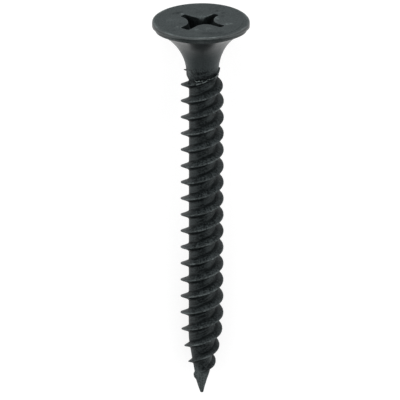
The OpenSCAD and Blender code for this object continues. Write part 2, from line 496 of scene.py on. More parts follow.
# The head, millimetres: turns go round the axis from the back, over the left side to the front
headSizes = {
    "radius": 3.9,
    # The rim in front and at the back: depths of the side's two edges, width of the chamfer over
    # it, and depth of the underside
    "frontRim": {"side": (0.075, 0.15), "chamfer": 0.2, "under": 0.43},
    "backRim": {"side": (0.06, 0.37), "chamfer": 0.1, "under": 0.54},
    # Where the rim changes from one to the other: 0 is at the sides, 1 in front
    "frontFrom": (0.05, 0.55),
    # The underside's outermost point: share of the way out to the side, and height over the rest
    "runOut": (0.4, 0.09),
    # The side's rounded lower edge: how far in, and how far below
    "lowerEdge": ((0.04, 0.07), (0.012, 0.025), (0.0, 0.0)),
    "sideSwell": 0.004,
    "sideInset": 0.005,
    "bevelDrop": 0.01,
    "bevelSteps": 4,
    "bugleRings": 26,
    "unevenRim": 0.018,
    "unevenNoise": (1.3, 4.7),
    # Where the rim bulges or falls back: turn, spread and height
    "bulges": [(0.95, 0.4, 0.01), (3.1, 0.5, -0.13), (4.4, 0.28, 0.055), (5.15, 0.4, -0.04)],
    # Where the rim is thinner: turn, spread and share, which fades away between two depths
    "thinnings": [(2.6, 0.4, 0.08), (3.75, 0.3, 0.06)],
    "thinningFade": (0.5, 1.3),
    # The finish of the side, which is what lies near the rim's outermost line, and of the edge of
    # the flat: painted shade on the side, but rubbed wear with a painted highlight in front. The
    # pair is the least wear and highlight on the bevel, and what front adds
    "sideBand": 0.1,
    "sideShade": 0.05,
    "sideWearAndHighlight": 0.25,
    "bevelWearAndHighlight": (1.3, 2.2),
    "frontRubAndHighlightSpread": 0.45,
    # Rings of the flat: radius, and how far each follows the rim's unevenness
    "flatRings": [(3.62, 1.0), (3.54, 0.5), (3.46, 0.0), (3.38, 0.0), (3.3, 0.0), (3.2, 0.0), (3.06, 0.0)],
    "ringGrooveAndShade": {"radius": 3.38, "depth": 0.02, "facing": 212, "dark": 0.35},
    "rubbedEdgeAndHighlight": {"outside": 3.5, "facing": 132, "wearAndHighlight": 0.3},
    "fanRadius": 2.95,
    "fanShares": (1.0, 0.92, 0.84, 0.76, 0.68, 0.6, 0.52, 0.44, 0.36, 0.28, 0.2, 0.13, 0.06),
    # Slope of the flat against the axis, and the height over which it comes in
    "tilt": (0.015, -0.0095),
    "tiltFade": 2.0,
    # Dark and light scuffs round the recess, with painted shade and painted light on the lands and
    # lips: place, radius and strength, light below 0
    "scuffsAndPaintedLight": [
        ((1.76, 1.83), 0.20, 0.45), ((1.62, 2.20), 0.16, 0.30), ((1.95, 1.55), 0.12, 0.30),
        ((1.55, 1.50), 0.12, -0.45), ((2.14, -1.29), 0.14, 0.40), ((1.71, -1.75), 0.14, 0.35),
        ((1.05, -1.70), 0.13, 0.30), ((1.75, -1.45), 0.14, -0.45), ((0.90, -1.20), 0.14, -0.50),
        ((0.5, -1.35), 0.13, -0.40), ((-0.68, -2.05), 0.16, -0.38), ((-0.60, -2.40), 0.14, -0.24),
        ((-1.15, 1.85), 0.14, -0.40), ((-1.05, 2.10), 0.14, 0.25), ((-2.60, -0.30), 0.26, 0.28),
        ((-2.68, -0.90), 0.28, 0.34), ((-2.52, -1.55), 0.24, 0.30), ((-1.75, 0.35), 0.22, -0.25),
        ((-1.55, -0.60), 0.22, -0.22), ((0.5, 2.3), 0.35, -0.15), ((-1.9, 2.2), 0.22, 0.14),
        ((1.9, 0.2), 0.3, 0.12), ((0.0, 1.4), 0.3, -0.1), ((2.6, -0.9), 0.24, 0.15),
        ((-0.5, 1.6), 0.14, 0.25), ((0.0, 1.75), 0.25, -0.06), ((-1.2, -2.6), 0.5, 0.05),
    ],
    "darkScuffAndShade": 1.5,
    "lightScuffAndHighlight": 3.0,
}

# The cross recess. A land is the part of the flat between two wings, and it has its own lip.
# The lands are listed in the order back, left, front, right, and a wing goes before each land
recessSizes = {
    "centre": (0.2, 0.0),
    "turn": 54.0,
    "wingTurns": (-7.0, -4.0, -2.0, -1.0),
    "reaches": (1.80, 1.84, 2.20, 2.20),
    "wingLips": (0.08, 0.05, 0.07, 0.05),
    # Half the wing's width on this land's side, for the wing before the land and the one after
    "halfWidths": ((0.19, 0.20), (0.38, 0.35), (0.46, 0.27), (0.28, 0.32)),
    "landCorners": (1.0, 1.25, 0.85, 1.55),
    "landLips": (0.07, 0.08, 0.05, 0.08),
    # The corner of a land broken down to a facet: how far, where along its outline, how wide
    "facets": ((0.32, 0.48, 0.06), (0, 0.5, 1), (0, 0.5, 1), (0.06, 0.5, 0.1)),
    "footHalfWidth": 0.28,
    "footLandCorner": 0.3,
    "endCorner": 0.14,
    "cornerGap": 0.03,
    # Steps of the outline: a wing's end, its rounded corner, its side, and the land's corner
    "outlineSteps": (2, 4, 7, 12),
    # The points over which the wing's lip goes over into the land's, from the wing's middle
    "lipBlend": (3, 15),
    # The lip's rings, from the flat down: how rubbed, with painted highlight, how far part of the flat,
    # and how much painted shade
    "lipMarks": [(0.1, 1.0, 0.0), (0.7, 1.0, 0.0), (0.7, 1.0, 0.0), (0.7, 1.0, 0.0),
                 (0.1, 1.0, 0.0), (0.1, 0.5, 0.5), (0.1, 0.5, 1.0)],
    "wallSlope": 26.5,
    "depth": 1.8,
    "wallSteps": 8,
    # Painted shade on the walls, a little lighter near the lip
    "wallShadeFade": 0.1,
    "bottomDepth": 2.42,
    "bottomShares": (0.66, 0.33),
}
recessCentre = Vector((*recessSizes["centre"], 0.0))


# The outline from the middle of one wing to the middle of the next, as places and outward
# directions, the same count at any size
def landOutline(firstReach, nextReach, firstHalf, nextHalf, landCorner):
    endCorner = recessSizes["endCorner"]
    endSteps, roundSteps, sideSteps, cornerSteps = recessSizes["outlineSteps"]

    def wingHalf(reach, halfWidth, sideEnd):
        half = []
        for i in range(endSteps + 1):
            half.append(((reach, (halfWidth - endCorner) * i / endSteps), (1, 0)))
        for i in range(1, roundSteps + 1):
            a = math.radians(90 * i / roundSteps)
            place = (reach - endCorner + endCorner * math.cos(a),
                     halfWidth - endCorner + endCorner * math.sin(a))
            half.append((place, (math.cos(a), math.sin(a))))
        for i in range(1, sideSteps + 1):
            x = reach - endCorner + (sideEnd - reach + endCorner) * i / sideSteps
            half.append(((x, halfWidth), (0, 1)))
        return half

    # A wide corner stops short of the rounded end of either wing
    alongFirst = min(landCorner, firstReach - endCorner - nextHalf - recessSizes["cornerGap"])
    alongNext = min(landCorner, nextReach - endCorner - firstHalf - recessSizes["cornerGap"])
    corner = []
    for i in range(1, cornerSteps):
        a = math.radians(270 - 90 * i / cornerSteps)
        x, y = math.cos(a), math.sin(a)
        place = (nextHalf + alongFirst * (1 + x), firstHalf + alongNext * (1 + y))
        corner.append((place, (-x, -y)))
    nextWing = wingHalf(nextReach, nextHalf, firstHalf + alongNext)
    mirrored = [((y, x), (v, u)) for (x, y), (u, v) in reversed(nextWing[1:])]
    return wingHalf(firstReach, firstHalf, nextHalf + alongFirst) + corner + mirrored


# The recess's outline at a depth, moved outwards by an offset at each point
def recessRing(depth, offsets):
    s = recessSizes
    share = min(1.0, depth / s["depth"])
    inwards = depth * math.tan(math.radians(s["wallSlope"]))
    places = []
    for land in range(4):
        landCorner = s["landCorners"][land]
        landCorner += (s["footLandCorner"] - landCorner) * share
        halves = [half + (s["footHalfWidth"] - half) * share for half in s["halfWidths"][land]]
        quarter = landOutline(s["reaches"][land] - inwards, s["reaches"][(land + 1) % 4] - inwards,
                              *halves, landCorner)
        firstTurn, nextTurn = s["wingTurns"][land], s["wingTurns"][(land + 1) % 4]
        for i, (place, outward) in enumerate(quarter):
            swing = firstTurn + (nextTurn - firstTurn) * math.atan2(place[1], place[0]) * 2 / math.pi
            turned = Matrix.Rotation(math.radians(s["turn"] - 90 + 90 * land + swing), 2)
            flat = turned @ (Vector(place) + Vector(outward) * offsets[land * len(quarter) + i])
            places.append(Vector((flat.x, flat.y, 0)))
    return places


# The lip's radius at each point of the outline, from the lip of a wing's end to that of the
# land and on to the next wing's
def lipRadii():
    endSteps, roundSteps, sideSteps, cornerSteps = recessSizes["outlineSteps"]
    count = 2 * (endSteps + roundSteps + sideSteps) + cornerSteps
    wingLips = recessSizes["wingLips"]
    radii = []
    for land in range(4):
        landLip = recessSizes["landLips"][land]
        facet, middle, spread = recessSizes["facets"][land]
        for i in range(count):
            endLip = wingLips[land] if i < count / 2 else wingLips[(land + 1) % 4]
            lip = landLip + facet * bell(i / count, middle, spread)
            share = smoothShare(min(i, count - i), *recessSizes["lipBlend"])
            radii.append(endLip + (lip - endLip) * share)
    return radii


# How far the head is off the shank's axis at a height
def headOffset(height):
    return shankSizes["head offset"] * smoothShare(height, *shankSizes["offset rise"])


def bugleRadius(height):
    rise = max(0.0, height - shankSizes["neck high"])
    arc = shankSizes["bugle radius"]
    return shankSizes["neck radius"] + arc - math.sqrt(arc * arc - rise * rise)


# The outline from the hollow curve out to the rim, and over its bevel to the flat
def headProfile(rim):
    s = headSizes
    top = screwLength
    underHeight = top - rim["under"]
    low = shankSizes["shank top"]
    profile = []
    for i in range(s["bugleRings"] + 1):
        height = low + (underHeight - low) * i / s["bugleRings"]
        profile.append((bugleRadius(height), height))
    sideTop, sideLow = rim["side"]
    share, lift = s["runOut"]
    profile.append((between((bugleRadius(underHeight), s["radius"]), share), underHeight + lift))
    profile += [(s["radius"] - inset, top - sideLow - below) for inset, below in s["lowerEdge"]]
    profile.append((s["radius"] + s["sideSwell"], top - (sideTop + sideLow) / 2))
    edge = s["radius"] - s["sideInset"]
    for i in range(s["bevelSteps"] + 1):
        a = math.radians(90 * i / s["bevelSteps"])
        profile.append((edge - rim["chamfer"] * (1 - math.cos(a)),
                        top - sideTop + (sideTop - s["bevelDrop"]) * math.sin(a)))
    return profile


# A depth below the flat, which is less where the rim is thinner
def thinnedDepth(depth, a):
    near, far = headSizes["thinningFade"]
    fade = min(1.0, max(0.0, (far - depth) / (far - near)))
    for turn, spread, share in headSizes["thinnings"]:
        depth -= depth * bell(a, turn, spread) * share * fade
    return depth


# The place on the profile at each turn, between the shape at the front and that at the back
def blendedProfile(front, back):
    def profile(a):
        share = smoothShare(-math.cos(a), *headSizes["frontFrom"])
        radius, height = [between(pair, share) for pair in zip(back, front)]
        return radius, screwLength - thinnedDepth(screwLength - height, a)
    return profile


# A ring round the axis at the profile's places, which follows the rim's unevenness in part
def headRing(profile, uneven):
    s = headSizes
    scale, layer = s["unevenNoise"]
    places = []
    for i in range(shankSizes["turn segments"]):
        a = math.tau * i / shankSizes["turn segments"]
        x, y = math.cos(a), math.sin(a)
        drift = noise.noise(Vector((x * scale, y * scale, layer))) * s["unevenRim"]
        for turn, spread, bulge in s["bulges"]:
            drift += bell(a, turn, spread) * bulge
        radius, height = profile(a)
        radius += drift * uneven
        places.append((radius * x, radius * y, height))
    return places


def makeRim(bm, marks):
    wearAndHighlight, flatFace, paintedShadeAndScuffs = marks
    s = headSizes
    lowest = shankSizes["shank top"]
    ring = None
    for front, back in zip(headProfile(s["frontRim"]), headProfile(s["backRim"])):
        rise = max(0.0, (front[1] - lowest) / (screwLength - lowest))
        ring = nextRing(bm, ring, headRing(blendedProfile(front, back), rise ** 3))
        # Painted shade on the rim's side, and rubbed wear with a painted highlight in front
        if front[0] > s["radius"] - s["sideBand"] and front[1] < screwLength - s["sideBand"]:
            for vert in ring:
                inFront = bell(turnOf(vert), math.pi, s["frontRubAndHighlightSpread"])
                vert[paintedShadeAndScuffs] = s["sideShade"] * (1 - inFront)
                vert[wearAndHighlight] = s["sideWearAndHighlight"] * inFront
    # The bevel: rubbed wear with a painted highlight all round, strongest in front
    least, more = s["bevelWearAndHighlight"]
    for vert in ring:
        vert[wearAndHighlight] = least + more * bell(turnOf(vert), math.pi, s["frontRubAndHighlightSpread"])
        vert[flatFace] = 1.0
    return ring


# The outer part of the flat, with a shallow ring groove near the rim that holds painted shade, and rubbed
# wear with a painted highlight along its edge
def makeFlat(bm, marks, ring):
    wearAndHighlight, flatFace, paintedShadeAndScuffs = marks
    ringGrooveAndShade, rubbedAndHighlight = headSizes["ringGrooveAndShade"], headSizes["rubbedEdgeAndHighlight"]
    for radius, uneven in headSizes["flatRings"]:
        places = headRing(lambda a: (radius, screwLength), uneven)
        ring = nextRing(bm, ring, places, (flatFace, 1.0))
        for vert in ring:
            # Painted shade in the groove, on the side that faces its turn
            if radius == ringGrooveAndShade["radius"]:
                share = facing(vert, ringGrooveAndShade["facing"])
                vert.co.z -= ringGrooveAndShade["depth"] * share
                vert[paintedShadeAndScuffs] = ringGrooveAndShade["dark"] * share ** 2
            # Rubbed wear and a painted highlight along the edge, on the side that faces its turn
            elif radius > rubbedAndHighlight["outside"]:
                vert[wearAndHighlight] = rubbedAndHighlight["wearAndHighlight"] * facing(vert, rubbedAndHighlight["facing"]) ** 2
    return ring


# Rays from the recess's centre, from the lip out to a circle round the head's axis
def makeFan(bm, flatFace, lipOutline, outside):
    rays = []
    for place in lipOutline:
        ray = Vector((place.x, place.y, 0)) - recessCentre
        out = ray.normalized()
        along = recessCentre.dot(out)
        reach = math.sqrt(along ** 2 + headSizes["fanRadius"] ** 2 - recessCentre.length_squared) - along
        rays.append((out, (ray.length, reach)))
    onFlat = recessCentre + Vector((0, 0, screwLength))
    ring = None
    for share in headSizes["fanShares"]:
        places = [onFlat + out * between(ends, share) for out, ends in rays]
        isFirst = ring is None
        ring = nextRing(bm, ring, places, (flatFace, 1.0))
        if isFirst:
            joinUnequalRings(bm, ring, outside)
    return ring


# The rings of the rounded lip, from the flat down to the wall
def lipOutlines(radii):
    steps = len(recessSizes["lipMarks"]) - 1
    outlines = []
    for k in range(steps + 1):
        a = math.radians(90 * (1 - k / steps))
        places = recessRing(0.0, [radius * (1 - math.cos(a)) for radius in radii])
        for place, radius in zip(places, radii):
            place.z = screwLength - radius * (1 - math.sin(a))
        outlines.append([place + recessCentre for place in places])
    return outlines


def makeRecess(bm, marks, outlines, radii, ring):
    wearAndHighlight, flatFace, paintedShadeAndScuffs = marks
    s = recessSizes
    for places, (rubbedAndHighlight, flat, dark) in zip(outlines, s["lipMarks"]):
        ring = nextRing(bm, ring, places, (wearAndHighlight, rubbedAndHighlight), (flatFace, flat), (paintedShadeAndScuffs, dark))
    # The walls and the bottom carry painted shade, lightest just under the lip
    for k in range(1, s["wallSteps"] + 1):
        share = k / s["wallSteps"]
        depths = [between((radius, s["depth"]), share) for radius in radii]
        places = recessRing(max(depths) - max(radii) * (1 - share), [0.0] * len(radii))
        for place, depth in zip(places, depths):
            place.z = screwLength - depth
        places = [place + recessCentre for place in places]
        ring = nextRing(bm, ring, places, (paintedShadeAndScuffs, 1.0 - s["wallShadeFade"] * (1 - share)))
    foot = [vert.co.copy() for vert in ring]
    for share in s["bottomShares"]:
        places = [recessCentre + (place - recessCentre) * share for place in foot]
        for place in places:
            place.z = screwLength - between((s["bottomDepth"], s["depth"]), share)
        ring = nextRing(bm, ring, places, (paintedShadeAndScuffs, 1.0))
    pole = recessCentre + Vector((0, 0, screwLength - s["bottomDepth"]))
    joinToPole(bm, ring, bm.verts.new(pole))


def paintScuffsAndLight(verts, marks):
    wearAndHighlight, flatFace, paintedShadeAndScuffs = marks
    onFlat = [vert for vert in verts if vert[flatFace] == 1.0]
    for (x, y), radius, strength in headSizes["scuffsAndPaintedLight"]:
        # Dark scuffs with painted shade, light ones with painted light
        for vert in onFlat:
            near = math.exp(-((vert.co.x - x) ** 2 + (vert.co.y - y) ** 2) / radius ** 2)
            vert[paintedShadeAndScuffs] += max(0.0, strength) * near * headSizes["darkScuffAndShade"]
            vert[wearAndHighlight] += max(0.0, -strength) * near * headSizes["lightScuffAndHighlight"]


def makeHead(bm, marks):
    shankVerts = set(bm.verts)
    radii = lipRadii()
    outlines = lipOutlines(radii)
    rim = makeRim(bm, marks)
    outside = makeFlat(bm, marks, rim)
    lip = makeFan(bm, marks[1], outlines[0], outside)
    makeRecess(bm, marks, outlines, radii, lip)
    headVerts = [vert for vert in bm.verts if vert not in shankVerts]
    paintScuffsAndLight(headVerts, marks)
    tiltX, tiltY = headSizes["tilt"]
    for vert in headVerts:
        share = min(1.0, (vert.co.z - shankSizes["shank top"]) / headSizes["tiltFade"])
        vert.co.z += (vert.co.x * tiltX + vert.co.y * tiltY) * share
        vert.co.y += headOffset(vert.co.z)


# Torn slivers that stand off the neck where the threads begin: turn round the axis in degrees,
# height and radius of the foot and of the tip, width and thickness. One lies level
slivers = [
    {"turn": (266, 270), "height": (27.3, 28.1), "radius": (1.27, 1.42), "width": 0.18, "thick": 0.04,
     "level": False},
    {"turn": (94, 90), "height": (27.84, 27.86), "radius": (1.2, 1.50), "width": 0.2, "thick": 0.2,
     "level": True},
]
# The slivers carry painted shade: they are dark and dull all over
sliverSizes = {"rings": 6, "widthCurve": 0.6, "thinning": 0.7, "dark": 0.8}


def makeSliver(bm, sliver, paintedShadeAndScuffs):
    s = sliverSizes
    ring = None
    for i in range(s["rings"]):
        share = i / s["rings"]
        angle, height, radius = [between(sliver[name], share) for name in ("turn", "height", "radius")]
        out, side = outwards(angle), outwards(angle + 90)
        centre = out * radius + Vector((0, 0, height))
        width = sliver["width"] * (1 - share) ** s["widthCurve"] / 2
        thick = sliver["thick"] * (1 - share * s["thinning"]) / 2
        through = Vector((0, 0, 1)) if sliver["level"] else out
        across = [side * width, through * thick, -side * width, -through * thick]
        # Painted shade all along the sliver
        ring = nextRing(bm, ring, [centre + offset for offset in across], (paintedShadeAndScuffs, s["dark"]))
        if i == 0:
            bm.faces.new(reversed(ring))
    tip = outwards(sliver["turn"][1]) * sliver["radius"][1] + Vector((0, 0, sliver["height"][1]))
    joinToPole(bm, ring, bm.verts.new(tip))


# Thin leaves torn off the crest where it rises out of the neck, one over the other: turn round
# the axis in degrees, height over the crest's line, radius of the outer edge, depth, thickness
leaves = [
    {"turn": (190, 150), "rise": (0.05, 0.24), "edge": (1.50, 1.52), "deep": 0.3, "thick": 0.08},
    {"turn": (198, 158), "rise": (0.04, -0.07), "edge": (1.58, 1.70), "deep": 0.3, "thick": 0.09},
    {"turn": (246, 196), "rise": (-0.02, 0.06), "edge": (1.56, 1.64), "deep": 0.3, "thick": 0.09},
]
# The leaves' ends, and their unevenness: how much, then the noise's pace along a leaf, its pace
# from leaf to leaf, and its layer
leafSizes = {
    "steps": 22,
    "endCurve": 0.4,
    "endThickness": 0.35,
    "edgeStep": 0.05,
    "ragged": (0.06, 7, 3.1, 0.5),
    "wave": (0.05, 6, 5.3, 2.5),
    # Painted highlight along the leaves' outer edges: its noise, like the two above, then its strength and
    # its least
    "highlight": (1.8, 9, 4.7, 6.5),
    "wearAndHighlight": 4.5,
    "leastHighlight": 0.1,
}


def leafNoise(name, share, number):
    amount, along, fromLeaf, layer = leafSizes[name]
    return amount * noise.noise(Vector((share * along, number * fromLeaf, layer)))


def makeLeaf(bm, leaf, number, wearAndHighlight, paintedShadeAndScuffs):
    s = leafSizes
    lead = shankSizes["pitch"] * shankSizes["starts"]
    ring = None
    for i in range(s["steps"] + 1):
        share = i / s["steps"]
        turn, rise, edge = [between(leaf[name], share) for name in ("turn", "rise", "edge")]
        out = outwards(turn)
        height = shankSizes["thread top"] - lead * (270 - turn) / 360 + rise
        height += leafNoise("wave", share, number)
        # The leaf draws back and thins out at both ends
        full = math.sin(math.pi * share) ** s["endCurve"]
        edge = edge - leaf["deep"] * (1 - full) + leafNoise("ragged", share, number)
        thick = leaf["thick"] * between((s["endThickness"], 1.0), full) / 2
        level = Vector((0, 0, height))
        up = Vector((0, 0, thick))
        foot = out * (edge - leaf["deep"]) + level
        centre = out * (edge - thick) + level
        inside = centre - out * s["edgeStep"] + up
        places = [out * edge + level, centre + up, inside, foot + up, foot - up, centre - up]
        ring = nextRing(bm, ring, places)
        # Painted highlight on the outer edge, painted shade on the inner faces
        highlight = max(s["leastHighlight"], 1.0 + leafNoise("highlight", share, number))
        for vert in (ring[0], ring[1], ring[5]):
            vert[wearAndHighlight] = s["wearAndHighlight"] * highlight
        for vert in ring[2:5]:
            vert[paintedShadeAndScuffs] = 1.0
        if i == 0:
            bm.faces.new(reversed(ring))
    bm.faces.new(ring)


# Black phosphate, linear colours: it is thickest in the threads, thinner and smoother under the
# head, dull on the flat of the head, and the point is bare of oil and lighter. A pair is the
# range of heights, of distances or of noise over which a zone comes in
phosphateSizes = {
    "thread": {"dark": (0.0025, 0.0038, 0.0042, 1), "light": (0.028, 0.0338, 0.0352, 1),
               "roughness": 0.5, "specular": 0.18},
    "underHead": {"dark": (0.030, 0.0365, 0.0378, 1), "light": (0.039, 0.0466, 0.0482, 1),
                  "roughness": 0.40, "specular": 0.17},
    # Painted shade under the rim: dark and glossy
    "shadeUnderRim": {"dark": (0.004, 0.0055, 0.0058, 1), "light": (0.008, 0.0100, 0.0105, 1),
                 "roughness": 0.33, "specular": 0.49},
    "flat": {"dark": (0.0325, 0.0384, 0.0394, 1), "light": (0.048, 0.0559, 0.0574, 1),
             "roughness": 0.85, "specular": 0.1},
    "point": {"dark": (0.038, 0.0460, 0.0470, 1), "light": (0.084, 0.0960, 0.0975, 1),
              "roughness": 0.85, "specular": 0.12},
    # Painted shade in the recess, the troughs, the flanks' corners, the ring groove and on hidden faces,
    # and the colour of the dark scuffs
    "paintedShadeAndScuffs": {"dark": (0.0025, 0.0036, 0.0039, 1), "light": (0.0065, 0.0085, 0.0090, 1),
               "roughness": 0.9, "specular": 0.04},
    # Rubbed wear, and the colour of painted highlights and glints
    "rubbedAndHighlight": (0.15, 0.173, 0.173, 1),
    "underHeadFrom": (27.95, 28.45),
    "shadeUnderRimFrom": (29.2, 30.8),
    "pointBelow": (1.9, 2.3),
    "pointSlant": 0.6,
    "specularTint": (0.9, 1.0, 1.0, 1),
    "roughnessSpread": 0.15,
    "underHeadSmoothness": 0.55,
    "grainScale": 7.5,
    "cloudScale": 0.9,
    "speckScale": 2.3,
    "speckRange": (0.62, 0.75),
    # Drawn lines: how fast they change across and along, and their seed
    "axialLines": (9.0, 0.12, 0.7),
    "rolledLines": (1.8, 9.0, 2.3),
    "flankLines": (17.0, 0.5, 5.1),
    "rolledSlant": 0.05,
    "axialShare": 0.5,
    "flankShare": 0.7,
    "threadRise": (0.08, 0.3),
    "flankEnd": (-0.06, 0.02),
    # Shares of grain, clouds and lines in the tone
    "toneShares": (0.45, 0.1, 0.45),
    "toneRange": (0.43, 0.57),
    "bumpHeight": 0.00004,
    "bumpStrength": 0.5,
    "bumpLines": 0.7,
    # Painted shade in the corners at the foot of the flanks
    "upperCreviceShade": (0.01, 0.17),
    "lowerCreviceShade": (0.04, 0.20),
    "lowerShare": 0.75,
    "patchDepth": 0.45,
    "patchGrain": 0.5,
    "patchRange": (0.62, 0.88),
    # How much painted shade the upper flanks get all over, and how much more towards the point
    "upperFlankShade": (0.06, 0.1),
    "upperFlankShadeFrom": (5.0, 16.0),
    "creviceShade": 0.9,
    "creviceShadeDullness": 0.8,
    # Rubbed wear with a painted highlight along the crests, weaker on the upper side
    "crestRise": (0.12, 0.42),
    "crestLine": (0.02, 0.08),
    "upperCrestRubAndHighlight": 0.4,
    # How rubbed places and painted highlights show: all over, in patches and in specks, which are
    # painted glints, and the patches' noise
    "rubShares": (0.1, 0.5, 0.6),
    "rubNoise": (0.7, 1.3),
    "rubRange": (0.88, 1.3),
}


# Shader groups: grain of the coating, and lines that are drawn on it. Each has a place and
# numbers as inputs, and gives numbers
def newShaderGroup(name, inputs, outputs):
    group = bpy.data.node_groups.new(name, "ShaderNodeTree")
    group.interface.new_socket("Place", in_out="INPUT", socket_type="NodeSocketVector")
    for label, value in inputs.items():
        socket = group.interface.new_socket(label, in_out="INPUT", socket_type="NodeSocketFloat")
        socket.default_value = value
    for label in outputs:
        group.interface.new_socket(label, in_out="OUTPUT", socket_type="NodeSocketFloat")
    return group, group.nodes.new("NodeGroupInput"), group.nodes.new("NodeGroupOutput")


def coatingGrain():
    s = phosphateSizes
    inputs = {"Grain Scale": s["grainScale"], "Cloud Scale": s["cloudScale"], "Seed": 0.0}
    group, source, target = newShaderGroup("coatingGrain", inputs, ("Grain", "Clouds", "Specks"))
    place, seed = source.outputs["Place"], source.outputs["Seed"]
    grainScale = Field(group, source.outputs["Grain Scale"])
    grain = noiseField(group, place, grainScale, seed, detail=4.0)
    clouds = noiseField(group, place, source.outputs["Cloud Scale"], seed, detail=3.0)
    fine = noiseField(group, place, grainScale * s["speckScale"], seed)
    specks = step(group, fine, *s["speckRange"])
    for name, field in (("Grain", grain), ("Clouds", clouds), ("Specks", specks)):
        group.links.new(field.socket, target.inputs[name])
    return group


# Lines that run on in one direction: across is how fast they change round the axis, along how
# fast they change with the other coordinate
def drawnLines():
    inputs = {"Other": 0.0, "Across": 1.0, "Along": 1.0, "Seed": 0.0}
    group, source, target = newShaderGroup("drawnLines", inputs, ("Lines",))
    x, y = splitVector(group, source.outputs["Place"])[:2]
    radius = (x * x + y * y).calc("SQRT") + 0.001  # never 0 on the axis
    across = Field(group, source.outputs["Across"])
    stretched = vector(group, x / radius * across, y / radius * across,
                       Field(group, source.outputs["Other"]) * Field(group, source.outputs["Along"]))
    lines = noiseField(group, stretched, 1.0, source.outputs["Seed"])
    group.links.new(lines.socket, target.inputs["Lines"])
    return group


def mixColour(tree, factor, first, second):
    node = addNode(tree, "ShaderNodeMix", {"data_type": "RGBA"})
    plug(tree, factor, node.inputs[0])
    plug(tree, first, node.inputs[6])
    plug(tree, second, node.inputs[7])
    return node.outputs[2]


def attributeField(tree, name):
    return Field(tree, addNode(tree, "ShaderNodeAttribute", {"attribute_name": name}).outputs["Fac"])


def blend(first, second, share):
    return first + share * (second - first)


